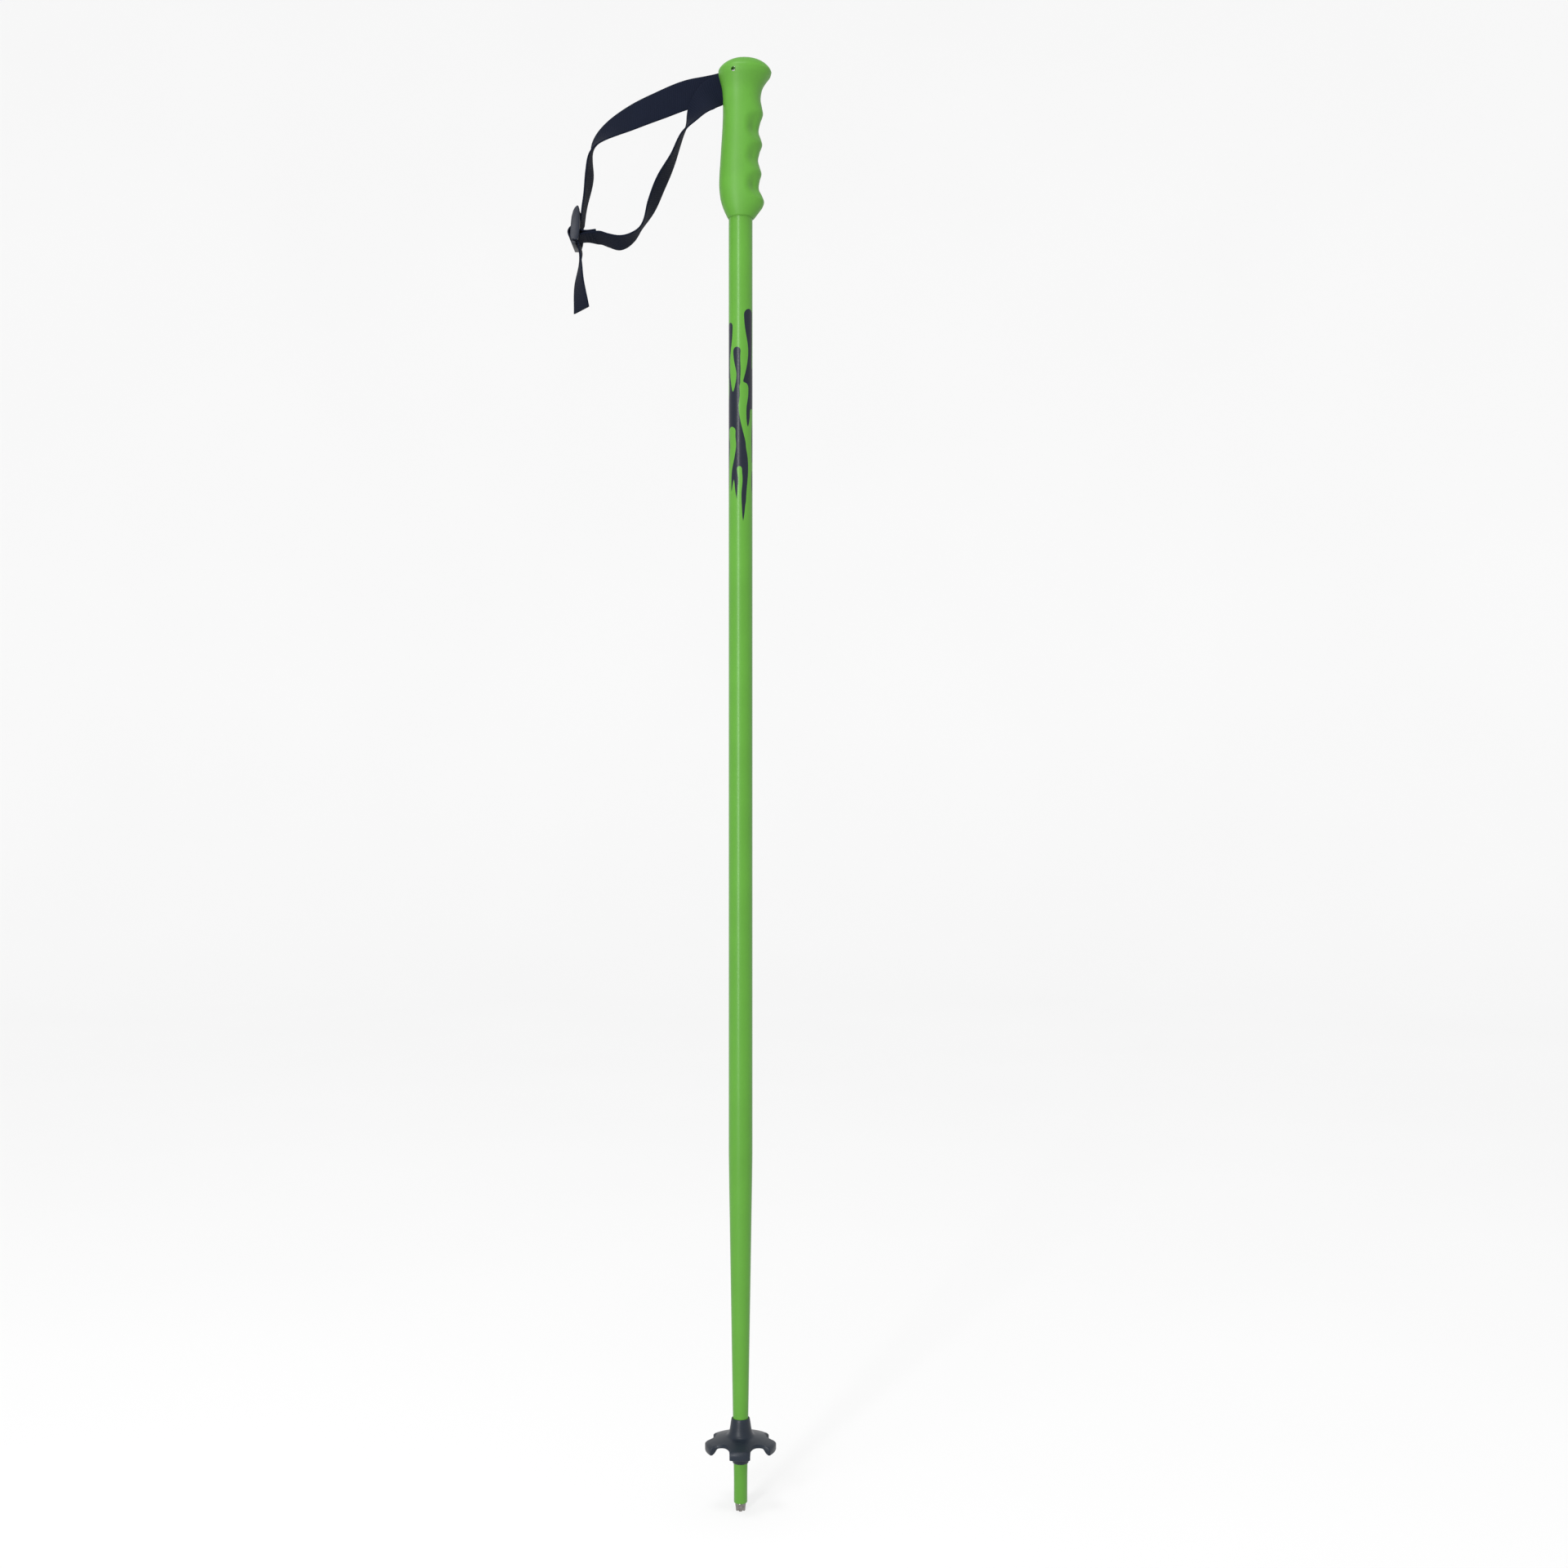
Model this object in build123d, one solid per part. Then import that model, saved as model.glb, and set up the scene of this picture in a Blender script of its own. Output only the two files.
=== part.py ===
from build123d import *
import os
from math import cos, radians, sin

# Alpine ski pole with a wrist strap. Millimetres. The origin is at the lowest point of the steel
# tip, on the shaft's axis. +Z runs up the shaft, +X to the finger side of the grip, and the wrist
# strap hangs out towards -X.

# Driving dimensions
POLE_LENGTH = 1100.0
WALL = 1.2

SHAFT_RADIUS = 9.0
SHAFT_END_RADIUS = 5.1
SHAFT_BOTTOM_Z = 6.0
TIP_SEAT_TOP_Z = 24.0  # the lower end is a plain cylinder up to here
TAPER_TOP_Z = 266.0
SHAFT_TOP_Z = 1056.0
END_CHAMFER = 0.5

PIN_RADIUS = 1.5
PIN_X = -5.1
PIN_Z = 1086.3
PIN_HALF_LENGTH = 13.5

WEBBING_WIDTH = 22.5
WEBBING_THICKNESS = 1.5
SLOT_HALF_WIDTH = 2.15
THREAD = 0.35

BAR_RADIUS = 1.5
BAR_X = -123.5
BAR_Z = 966.0
BUCKLE_HALF_WIDTH = 14.9
RAIL_WIDTH = 3.0
HEM_PLAY = 0.3
HEM_SLOPE = -3.0  # degrees, of the doubled end that holds the buckle
HEM_END = 17.8  # from the middle bar's axis to where the doubled webbing ends

BASKET_TOP_Z = 70.0
BASKET_BOTTOM_Z = 36.0
BASKET_RADIUS = 27.0
BASKET_LOBES = 5
BASKET_PLAY = 0.06
SCALLOP_RADIUS = 9.7
SCALLOP_DEPTH_RADIUS = 20.0  # the disc is this far across, from the axis, between two lobes

SIDEWAYS = Vector(0, 1, 0)
OUT_OF_SLOT = Vector(-1, 0, 0)

# Grip outline: height, palm side, finger side and half width
GRIP_SECTIONS = [
    (978.5, -9.9, 10.4, 9.9),
    (984.0, -12.3, 14.2, 11.4),
    (991.0, -14.6, 17.6, 12.6),
    (1001.0, -16.0, 13.8, 13.0),
    (1013.0, -15.8, 15.6, 13.1),
    (1022.0, -15.3, 13.2, 12.9),
    (1035.0, -14.5, 16.2, 12.9),
    (1044.0, -13.9, 13.6, 12.8),
    (1059.0, -13.3, 16.8, 12.9),
    (1069.0, -13.5, 15.0, 13.2),
    (1077.0, -14.2, 16.4, 14.4),
    (1083.0, -15.8, 20.0, 16.4),
    (1089.0, -16.9, 23.2, 18.0),
    (1094.0, -14.2, 21.8, 16.4),
    (1098.0, -7.4, 16.0, 11.2),
    (POLE_LENGTH, -1.0, 9.6, 5.0),
]

# Strap stations: x, y, z of the middle of the webbing, and its roll about its own length.
# At roll 0 the width stands upright, at 90 it lies across the strap's plane.
REAR_RUN = [
    (-21, 0.9, 1076.5, 0), (-40, 1.4, 1073.5, 3), (-62, 2, 1065.3, 10), (-82, 2, 1056.3, 22),
    (-98, 1.5, 1047, 40), (-108.8, 0.5, 1037, 62), (-113.4, 0, 1026, 88),
    (-114.6, 0, 1012, 98), (-117.6, 0, 993, 91), (-119.2, 0, 982, 90), (-119.8, 0, 977, 90),
]
FRONT_RUN = [
    (-21, -1, 1073, 0), (-29.5, -5.2, 1063, 24), (-36.4, -8, 1051.7, 58), (-44, -7, 1040, 84),
    (-51, -5, 1023, 93), (-59.6, -4, 1006, 102), (-67.3, -3, 988, 99), (-75, -2, 972, 82),
    (-82.5, -1, 964.5, 91), (-92, 0, 960.9, 102), (-100, 0, 962.4, 100),
]
TAIL_RUN = [(-121.6, 0, 954.5, 90), (-121.8, 0, 946, 81), (-122.2, 0, 930, 66), (-120.8, 0, 911.5, 55)]


def shaft_radius(z):
    """Outer radius of the shaft at a height."""
    if z <= TIP_SEAT_TOP_Z:
        return SHAFT_END_RADIUS
    share = min(1, (z - TIP_SEAT_TOP_Z) / (TAPER_TOP_Z - TIP_SEAT_TOP_Z))
    return SHAFT_END_RADIUS + share * (SHAFT_RADIUS - SHAFT_END_RADIUS)


def turned(profile):
    """Solid of revolution about Z from (radius, height) points."""
    return revolve(Plane.XZ * make_face(Polyline(*profile, close=True)), Axis.Z)


def plate(outline, y_low, y_high):
    """Flat plate from an outline in the XZ plane, between two Y values."""
    face = make_face(Polyline(*[(x, 0, z) for x, z in outline], close=True))
    return Pos(0, y_low, 0) * extrude(face, amount=y_high - y_low, dir=(0, 1, 0))


def cross_rod(x, z, radius, half_length):
    """Round rod along Y, centred on the shaft's plane."""
    return Pos(x, 0, z) * Rot(90, 0, 0) * Cylinder(radius, 2 * half_length)


def ribbon(stations, start=None, finish=None):
    """Webbing through its stations, square to its path and rolled about it.

    A start or finish direction holds that end's section square to it.
    """
    points = [Vector(x, y, z) for x, y, z, roll in stations]
    sections = []
    for i, station in enumerate(stations):
        tangent = (points[min(i + 1, len(points) - 1)] - points[max(i - 1, 0)]).normalized()
        if start and i == 0:
            tangent = start
        if finish and i == len(points) - 1:
            tangent = finish
        upright = SIDEWAYS.cross(tangent).normalized()
        flat = tangent.cross(upright).normalized()
        roll = radians(station[3])
        across = upright * cos(roll) + flat * sin(roll)
        section = Plane(points[i], x_dir=across, z_dir=tangent)
        sections.append(section * Rectangle(WEBBING_WIDTH, WEBBING_THICKNESS))
    return loft(sections, ruled=True)


def around_bar(angle, radius):
    """Station of crosswise webbing beside the buckle's middle bar."""
    return (BAR_X + radius * cos(radians(angle)), 0, BAR_Z + radius * sin(radians(angle)), 90)


def shaft_tube():
    heights = [SHAFT_BOTTOM_Z + END_CHAMFER, TIP_SEAT_TOP_Z, TAPER_TOP_Z, SHAFT_TOP_Z]
    outside = [(shaft_radius(z), z) for z in heights]
    foot = [(SHAFT_END_RADIUS - END_CHAMFER, SHAFT_BOTTOM_Z)]
    inside = [(r - WALL, z) for r, z in reversed(outside[1:])]
    return turned(foot + outside + inside + [(SHAFT_END_RADIUS - WALL, SHAFT_BOTTOM_Z)])


def shaft_top_plug():
    depth, flange, skin = 14.0, 1.5, 1.6
    bore = SHAFT_RADIUS - WALL
    cup = Pos(0, 0, SHAFT_TOP_Z - depth) * extrude(Circle(bore), amount=depth)
    cup += Pos(0, 0, SHAFT_TOP_Z) * extrude(Circle(SHAFT_RADIUS), amount=flange)
    hollow = extrude(Circle(bore - skin), amount=depth - skin)
    return cup - Pos(0, 0, SHAFT_TOP_Z - depth) * hollow


def slot_pocket():
    """Room for the strap's root, which tips up about the pin."""
    outline = [
        (-26, 1061.7), (-6.6, 1069.9), (-0.8, 1078.6), (-0.8, 1090.4),
        (-5.2, 1093.2), (-10.2, 1092.9), (-19, 1089.6), (-26, 1089.6),
    ]
    return plate(outline, -SLOT_HALF_WIDTH, SLOT_HALF_WIDTH)


def grip():
    sections = []
    for z, palm, fingers, half_width in GRIP_SECTIONS:
        outline = Ellipse((fingers - palm) / 2, half_width)
        sections.append(Pos((palm + fingers) / 2, 0, z) * outline)
    body = loft(sections)
    plug_top = SHAFT_TOP_Z + 1.5
    bottom = GRIP_SECTIONS[0][0]
    body -= Pos(0, 0, bottom) * extrude(Circle(SHAFT_RADIUS), amount=plug_top - bottom)
    body -= slot_pocket()
    body -= cross_rod(PIN_X, PIN_Z, PIN_RADIUS, PIN_HALF_LENGTH)
    for side in (-1, 1):
        length = 12.0
        mouth = cross_rod(PIN_X, PIN_Z, PIN_RADIUS + 0.15, length / 2)
        body -= Pos(0, side * (PIN_HALF_LENGTH + length / 2), 0) * mouth
    return body


def strap_pin():
    return chamfer(cross_rod(PIN_X, PIN_Z, PIN_RADIUS, PIN_HALF_LENGTH).edges(), 0.3)


def strap_root():
    outline = [
        (-18.2, 1065.6), (-18.2, 1086.2), (-10.5, 1090.6), (-5.6, 1091.6),
        (-1.9, 1088.8), (-1.5, 1079), (-7, 1070.5),
    ]
    layers = plate(outline, -WEBBING_THICKNESS, WEBBING_THICKNESS)
    return layers - cross_rod(PIN_X, PIN_Z, PIN_RADIUS + 0.08, SLOT_HALF_WIDTH)


def strap_root_stitching():
    stitches = []
    for x in (-15.5, -12.0):
        for row in range(5):
            for side in (-1, 1):
                y = side * (WEBBING_THICKNESS + THREAD / 2)
                stitches.append(Pos(x, y, 1072.5 + 3 * row) * Box(0.5, THREAD, 2.2))
    return Compound(children=stitches)


def strap_rear_run():
    return ribbon(REAR_RUN, OUT_OF_SLOT)


def along_hem(distance, height):
    """Location on the doubled hem, from the middle bar out and up from its middle."""
    return Pos(BAR_X, 0, BAR_Z) * Rot(0, -HEM_SLOPE, 0) * Pos(distance, 0, height)


def strap_hem():
    inner = BAR_RADIUS + HEM_PLAY
    outer = inner + WEBBING_THICKNESS
    half = WEBBING_WIDTH / 2
    doubled = Box(HEM_END - inner, WEBBING_WIDTH, 2 * WEBBING_THICKNESS)
    body = cross_rod(BAR_X, BAR_Z, outer, half)
    body += along_hem((HEM_END + inner) / 2, 0) * doubled
    return body - cross_rod(BAR_X, BAR_Z, inner, half)


def strap_front_run():
    start = along_hem(HEM_END, 0).position
    towards_bar = along_hem(0, 0).position - start
    stations = FRONT_RUN + [(start.X, 0, start.Z, 90)]
    return ribbon(stations, OUT_OF_SLOT, towards_bar.normalized())


def strap_hem_stitching():
    stitches = []
    for distance in (7.0, 9.0, 11.0):
        for column in range(7):
            for side in (-1, 1):
                place = along_hem(distance, side * (WEBBING_THICKNESS + THREAD / 2))
                stitches.append(place * Pos(0, 2.6 * (column - 3), 0) * Box(0.5, 2.0, THREAD))
    return Compound(children=stitches)


def strap_tail():
    entry = [(-120.3, 0, 975.2, 90)]
    woven = [around_bar(angle, 4.7) for angle in (100, 140, 180, 220, 260)]
    leaving = [(-122.2, 0, 958.4, 90)]
    return ribbon(entry + woven + leaving + TAIL_RUN)


def strap_buckle():
    rail = [
        (-122.6, 982.2), (-126.2, 975), (-128.4, 966.5), (-128.6, 961.5), (-126.8, 956.6),
        (-123.8, 956.6), (-120.9, 962), (-120.4, 970), (-120, 978), (-120.6, 982.2),
    ]
    tab = [(-122.6, 982.2), (-126, 975.6), (-123.4, 975), (-121.3, 977.5), (-121.2, 982.2)]
    inside = BUCKLE_HALF_WIDTH - RAIL_WIDTH
    body = plate(rail, inside, BUCKLE_HALF_WIDTH)
    body += plate(rail, -BUCKLE_HALF_WIDTH, -inside)
    body += plate(tab, -inside, inside)
    body += cross_rod(BAR_X, BAR_Z, BAR_RADIUS, inside)
    body += cross_rod(-126, 958.2, BAR_RADIUS, inside)
    return body


def basket():
    outside = [
        (6.8, BASKET_TOP_Z), (8.2, 61.5), (9.6, 57.6), (12, 56.3), (22, 53.6), (26, 52.2),
        (BASKET_RADIUS, 51.2), (BASKET_RADIUS, 46.3), (25.2, 46.3), (25.2, 50.3), (12, 54.1),
        (8.4, 53.2), (7.4, 46), (6.1, BASKET_BOTTOM_Z),
    ]
    bore = [(shaft_radius(z) + BASKET_PLAY, z) for z in (BASKET_BOTTOM_Z, BASKET_TOP_Z)]
    body = turned(outside + bore)
    centre = SCALLOP_DEPTH_RADIUS + SCALLOP_RADIUS
    for lobe in range(BASKET_LOBES):
        cutter = Pos(centre, 0, 44) * extrude(Circle(SCALLOP_RADIUS), amount=12)
        body -= Rot(0, 0, -54 + lobe * 360 / BASKET_LOBES) * cutter
    return body


def tip_bush():
    length = 22.0
    ring = Circle(SHAFT_END_RADIUS - WALL) - Circle(2)
    lower = Pos(0, 0, SHAFT_BOTTOM_Z) * extrude(ring, amount=TIP_SEAT_TOP_Z - SHAFT_BOTTOM_Z)
    upper = Pos(0, 0, TIP_SEAT_TOP_Z) * extrude(ring, amount=length - TIP_SEAT_TOP_Z + SHAFT_BOTTOM_Z)
    return lower + upper


def tip_crown():
    rim, shoulder, shank = 3.55, 4.15, 2.0
    head = [
        (0, 1.7), (2.5, 0), (rim, 0), (shoulder, SHAFT_BOTTOM_Z - 0.6), (shoulder - 0.3, SHAFT_BOTTOM_Z),
        (shank, SHAFT_BOTTOM_Z), (shank, 26), (0, 26),
    ]
    body = turned(head)
    for notch in range(3):
        groove = Rot(45, 0, 0) * Box(2 * shoulder + 1, 1.3, 1.3)
        body -= Rot(0, 0, 60 * notch) * groove
    return body


PARTS = [
    shaft_tube, shaft_top_plug, grip, strap_pin, strap_root, strap_root_stitching,
    strap_rear_run, strap_front_run, strap_hem, strap_hem_stitching, strap_tail, strap_buckle,
    basket, tip_bush, tip_crown,
]

os.makedirs("parts", exist_ok=True)
for make in PARTS:
    export_step(make(), f"parts/{make.__name__}.step")
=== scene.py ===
import math

import bmesh
import bpy
import numpy as np
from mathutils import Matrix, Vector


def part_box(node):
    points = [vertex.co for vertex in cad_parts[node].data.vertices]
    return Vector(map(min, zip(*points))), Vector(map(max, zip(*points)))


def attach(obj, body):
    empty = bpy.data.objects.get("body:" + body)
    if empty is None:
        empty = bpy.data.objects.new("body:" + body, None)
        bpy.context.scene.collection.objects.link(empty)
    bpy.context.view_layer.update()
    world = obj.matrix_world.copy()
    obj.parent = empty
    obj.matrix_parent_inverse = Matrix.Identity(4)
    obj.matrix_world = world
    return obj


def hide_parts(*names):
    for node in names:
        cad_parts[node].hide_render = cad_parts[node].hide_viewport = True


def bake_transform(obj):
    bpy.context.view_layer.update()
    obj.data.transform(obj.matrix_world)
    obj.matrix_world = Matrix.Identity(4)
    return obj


# Looks of an alpine ski pole: moulded grip, webbing wrist strap, lacquered tube with a printed
# flame pattern, snow basket and steel tip. Shapes are worked out in millimetres, in the frame's
# axes, and turned to metres when a mesh is made.

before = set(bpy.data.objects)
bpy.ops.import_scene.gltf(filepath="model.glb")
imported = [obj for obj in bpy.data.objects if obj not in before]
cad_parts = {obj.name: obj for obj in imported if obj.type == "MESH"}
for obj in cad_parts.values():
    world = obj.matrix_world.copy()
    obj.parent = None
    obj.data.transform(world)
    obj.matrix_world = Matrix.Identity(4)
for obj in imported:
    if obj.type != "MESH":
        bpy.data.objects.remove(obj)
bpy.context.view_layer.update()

MM = 0.001
FULL_TURN = 2 * math.pi

# Shaft
SHAFT_RADIUS = 9.0
SHAFT_END_RADIUS = 5.1
SHAFT_BOTTOM_Z = 6.0
SHAFT_TOP_Z = 1056.0
TIP_SEAT_TOP_Z = 24.0
TAPER_TOP_Z = 266.0
WALL = 1.2

# Grip outlines: (height, distance from the shaft's axis)
PALM_SIDE = [
    (979.3, 9.7), (984, 12.0), (991, 14.5), (1001, 16.0), (1013, 15.9), (1022, 15.3),
    (1035, 14.5), (1044, 13.9), (1059, 13.3), (1069, 13.5), (1076, 14.1), (1082, 15.5),
    (1086, 16.6), (1089, 16.9),
]
FINGER_SWELLS = [
    (979.0, 10.2), (984, 14.0), (988, 16.8), (991.5, 17.7), (1013, 15.7), (1035, 16.3),
    (1058, 16.9), (1069, 15.1), (1074, 15.6), (1079, 17.2), (1083.5, 20.0), (1087, 22.6), (1089.5, 23.3),
]
FINGER_GROOVES = [
    (979.0, 10.2), (984, 14.0), (988, 16.8), (991.5, 17.7), (995.5, 16.4), (1001, 13.8),
    (1007, 14.3), (1013, 15.7), (1017, 14.6), (1022.5, 13.2), (1029, 14.4), (1035, 16.3),
    (1039, 15.2), (1044, 13.6), (1051, 14.7), (1058, 16.9), (1063, 16.1), (1069, 15.1),
    (1074, 15.6), (1079, 17.2), (1083.5, 20.0), (1087, 22.6), (1089.5, 23.3),
]
GRIP_HALF_WIDTH = [
    (979.1, 9.9), (984, 11.5), (991, 12.7), (1001, 13.1), (1022, 13.0), (1044, 12.8),
    (1059, 12.8), (1069, 13.1), (1076, 14.2), (1082, 16.1), (1086, 17.5), (1089, 18.0),
]
GRIP_BOTTOM_Z = 979.3
GRIP_RIM_Z = 1089.6
GRIP_TOP_Z = 1100.0
GRIP_CROWN_X = 4.5

SOCKET_RADIUS = 9.02
SLOT_HALF_WIDTH = 2.15

PIN_X = -5.1
PIN_Z = 1086.3
PIN_HALF_LENGTH = 13.5
PIN_HOLE_RADIUS = 1.5
PIN_MOUTH_RADIUS = 1.65

# Strap
WEBBING_WIDTH = 22.5
WEBBING_STEP = 0.4  # between the rings of its mesh
WEBBING_THICKNESS = 1.5
RIB_PITCH = 1.6
RIB_SLANT = 0.35
RIB_HEIGHT = 0.045
YARN_PITCH = 0.9
EDGE_RIPPLE = 0.16
SQUEEZE = 0.88  # width of the webbing in the slot, as a share of its full width
SQUEEZE_LENGTH = 18

# Stations of the strap: x, y, z of the middle of the webbing and its roll, 0 upright and 90 across
REAR_RUN = [
    (-6.5, 0.9, 1082.5, 0), (-12, 0.9, 1080.3, 0), (-21, 0.9, 1077.1, 0), (-40, 1.4, 1073.5, 3),
    (-62, 2, 1065.3, 10), (-82, 2, 1056.3, 22), (-98, 1.5, 1047, 40), (-108.8, 0.5, 1037, 62),
    (-113.4, 0, 1026, 88), (-114.6, 0, 1012, 98), (-117.6, 0, 993, 91), (-118.8, 0, 985, 90),
]
FRONT_RUN = [
    (-6.5, -0.9, 1081.5, 0), (-12, -0.9, 1079, 0), (-21, -1.1, 1073, 0), (-29, -5.4, 1063, 27),
    (-35.9, -8, 1051.7, 60), (-44, -7, 1040, 84), (-51, -5, 1023, 93), (-59.6, -4, 1006, 102),
    (-67.3, -3, 988, 99), (-75, -2, 972, 82), (-82.5, -1, 964.5, 91), (-92, 0, 960.9, 102),
    (-100, 0, 962.4, 100),
]
TAIL_START = [(-118.8, 0, 985, 90), (-119.5, 0, 979, 90), (-120.3, 0, 975.2, 90)]
TAIL_END = [
    (-122.2, 0, 958.4, 90), (-121.6, 0, 954.5, 90), (-121.8, 0, 946, 81), (-122.5, 0, 930, 67),
    (-120.7, 0, 909.5, 54),
]

# Way round the buckle's middle bar, and the doubled hem that holds it
BAR_X = -123.5
BAR_Z = 966.0
BAR_RADIUS = 1.5
HEM_SLOPE = math.radians(-3)
HEM_END = 17.8  # from the middle bar to where the loop's run begins
HEM_TWIST = 9  # degrees
LAYER_END = 14.6  # where the upper layer of the hem is cut off
STITCH_ROWS = [7.2, 9.4, 11.6, 13.4]
STITCHES_PER_ROW = 21
STITCHED_HALF_WIDTH = 8.4
THREAD_RADIUS = 0.14
WEAVE = [(100, 4.7), (140, 5.5), (180, 6.0), (220, 5.5), (260, 4.7)]  # degrees and radius of the tail

# Buckle
RAIL_MIDDLE_Y = 13.4
RAIL_HALF_WIDTH = 1.5
BAR_HALF_LENGTH = 12.2
THUMB_RIB_RADIUS = 0.42
THUMB_RIB_HALF_LENGTH = 10.5

# Basket
BASKET_TOP_Z = 70.0
BASKET_BOTTOM_Z = 36.0
BASKET_RADIUS = 27.0
BASKET_LOBES = 5
FIRST_LOBE = math.radians(-90)
SCALLOP_RADIUS = 9.7
SCALLOP_DEPTH_RADIUS = 20.0
PLATE_ROOT = 11

# Printed flames
PRINT_TOP_Z = 912.0
PRINT_BOTTOM_Z = 738.0

# Base colours
GREEN = (0.078, 0.245, 0.026)
NAVY = (0.006, 0.009, 0.018)
WEBBING_NAVY = (0.004, 0.0061, 0.0145)
THREAD_NAVY = (0.011, 0.0145, 0.026)
BASKET_NAVY = (0.008, 0.013, 0.022)
PLUG_DARK = (0.02, 0.022, 0.028)
TIP_STEEL = (0.23, 0.22, 0.205)
PIN_STEEL = (0.75, 0.75, 0.74)

# Camera, in metres from the shaft's axis and from the tube's middle
CAMERA_DISTANCE = 1.4
CAMERA_ASIDE = 0.0329
CAMERA_RAISE = 0.0193
LENS = 42.39

# Stage, in millimetres
FLOOR_RADIUS = 3400
CORNER_RADIUS = 900
WALL_TOP_Z = 6500


# ---------------------------------------------------------------- small tools

def smooth_line(points, at):
    """Values of a smooth line through (position, value) points."""
    x, y = np.array(points, float).T
    slope = np.gradient(y, x)
    k = np.clip(np.searchsorted(x, at) - 1, 0, len(x) - 2)
    span = x[k + 1] - x[k]
    t = np.clip((at - x[k]) / span, 0, 1)
    a = (1 + 2 * t) * (1 - t) ** 2
    b = t * (1 - t) ** 2
    c = t * t * (3 - 2 * t)
    d = t * t * (t - 1)
    return a * y[k] + b * span * slope[k] + c * y[k + 1] + d * span * slope[k + 1]


def soft_step(low, high, value):
    """0 below low, 1 above high, and a smooth rise between them."""
    t = np.clip((value - low) / (high - low), 0, 1)
    return t * t * (3 - 2 * t)


def make_mesh(name, vertices, faces, sharp_angle=None):
    """Object from vertices in millimetres and faces."""
    mesh = bpy.data.meshes.new(name)
    mesh.from_pydata((np.asarray(vertices, float) * MM).tolist(), [], faces)
    shape = bmesh.new()
    shape.from_mesh(mesh)
    bmesh.ops.recalc_face_normals(shape, faces=shape.faces)
    shape.to_mesh(mesh)
    shape.free()
    mesh.shade_smooth()
    if sharp_angle is not None:
        mesh.set_sharp_from_angle(angle=math.radians(sharp_angle))
    piece = bpy.data.objects.new(name, mesh)
    bpy.context.scene.collection.objects.link(piece)
    return piece


def ring_faces(rings, points, cap_first=True, cap_last=True):
    """Faces of a skin over closed rings of points, with flat ends."""
    faces = []
    for i in range(rings - 1):
        for j in range(points):
            k = (j + 1) % points
            faces.append((i * points + j, i * points + k, (i + 1) * points + k, (i + 1) * points + j))
    if cap_first:
        faces.append(tuple(reversed(range(points))))
    if cap_last:
        faces.append(tuple(range((rings - 1) * points, rings * points)))
    return faces


def loop_faces(rings, points):
    """Faces of a skin whose last ring joins its first, as on a tube with a bore."""
    faces = ring_faces(rings, points, False, False)
    last = (rings - 1) * points
    for j in range(points):
        k = (j + 1) % points
        faces.append((last + j, last + k, k, j))
    return faces


def round_rings(profile, points):
    """Rings about the shaft's axis from (radius, height) points."""
    angle = np.linspace(0, FULL_TURN, points, endpoint=False)
    c, s = np.cos(angle), np.sin(angle)
    return np.array([np.stack([r * c, r * s, np.full(points, z)], 1) for r, z in profile])


def skin(name, rings, sharp_angle=None):
    """Closed mesh over rings of points."""
    rings = np.asarray(rings, float)
    count, points = rings.shape[:2]
    return make_mesh(name, rings.reshape(-1, 3), ring_faces(count, points), sharp_angle)


def apply_modifiers(piece):
    """Keeps a piece's modified mesh as its own."""
    graph = bpy.context.evaluated_depsgraph_get()
    mesh = bpy.data.meshes.new_from_object(piece.evaluated_get(graph))
    piece.modifiers.clear()
    piece.data = mesh


def add_bevel(piece, width, segments, angle):
    """Rounds the edges that turn by more than the angle, in degrees."""
    bevel = piece.modifiers.new("bevel", "BEVEL")
    bevel.width = width * MM
    bevel.segments = segments
    bevel.limit_method = "ANGLE"
    bevel.angle_limit = math.radians(angle)
    bevel.harden_normals = False


def join(name, pieces):
    """One mesh object from several."""
    vertices, faces = [], []
    for piece in pieces:
        offset = len(vertices)
        vertices += [v.co / MM for v in piece.data.vertices]
        faces += [tuple(offset + i for i in face.vertices) for face in piece.data.polygons]
        bpy.data.objects.remove(piece)
    return make_mesh(name, vertices, faces, 35)


# ---------------------------------------------------------------- materials

def new_material(name):
    material = bpy.data.materials.new(name)
    material.use_nodes = True
    return material, material.node_tree.nodes, material.node_tree.links


def shader_of(material):
    return material.node_tree.nodes["Principled BSDF"]


def noise(nodes, links, scale, detail=4, coordinates=None):
    """Noise over the object's own coordinates, in metres."""
    if coordinates is None:
        coordinates = nodes.new("ShaderNodeTexCoord").outputs["Object"]
    texture = nodes.new("ShaderNodeTexNoise")
    texture.inputs["Scale"].default_value = scale
    texture.inputs["Detail"].default_value = detail
    links.new(coordinates, texture.inputs["Vector"])
    return texture.outputs["Fac"]


def ramp(nodes, links, factor, stops):
    """Colours along a factor: (position, colour) stops."""
    node = nodes.new("ShaderNodeValToRGB")
    elements = node.color_ramp.elements
    while len(elements) < len(stops):
        elements.new(0.5)
    for element, (position, colour) in zip(elements, stops):
        element.position = position
        element.color = (*colour, 1)
    links.new(factor, node.inputs["Fac"])
    return node.outputs["Color"]


def span(nodes, links, factor, low, high):
    """Factor from 0 to 1 spread between two values."""
    node = nodes.new("ShaderNodeMapRange")
    node.inputs["To Min"].default_value = low
    node.inputs["To Max"].default_value = high
    links.new(factor, node.inputs["Value"])
    return node.outputs["Result"]


def bump(nodes, links, height, distance, strength=1.0, under=None):
    """Normals bent by a height, on top of another bump if there is one under it."""
    node = nodes.new("ShaderNodeBump")
    node.inputs["Strength"].default_value = strength
    node.inputs["Distance"].default_value = distance
    links.new(height, node.inputs["Height"])
    if under is not None:
        links.new(under, node.inputs["Normal"])
    return node.outputs["Normal"]


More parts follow.
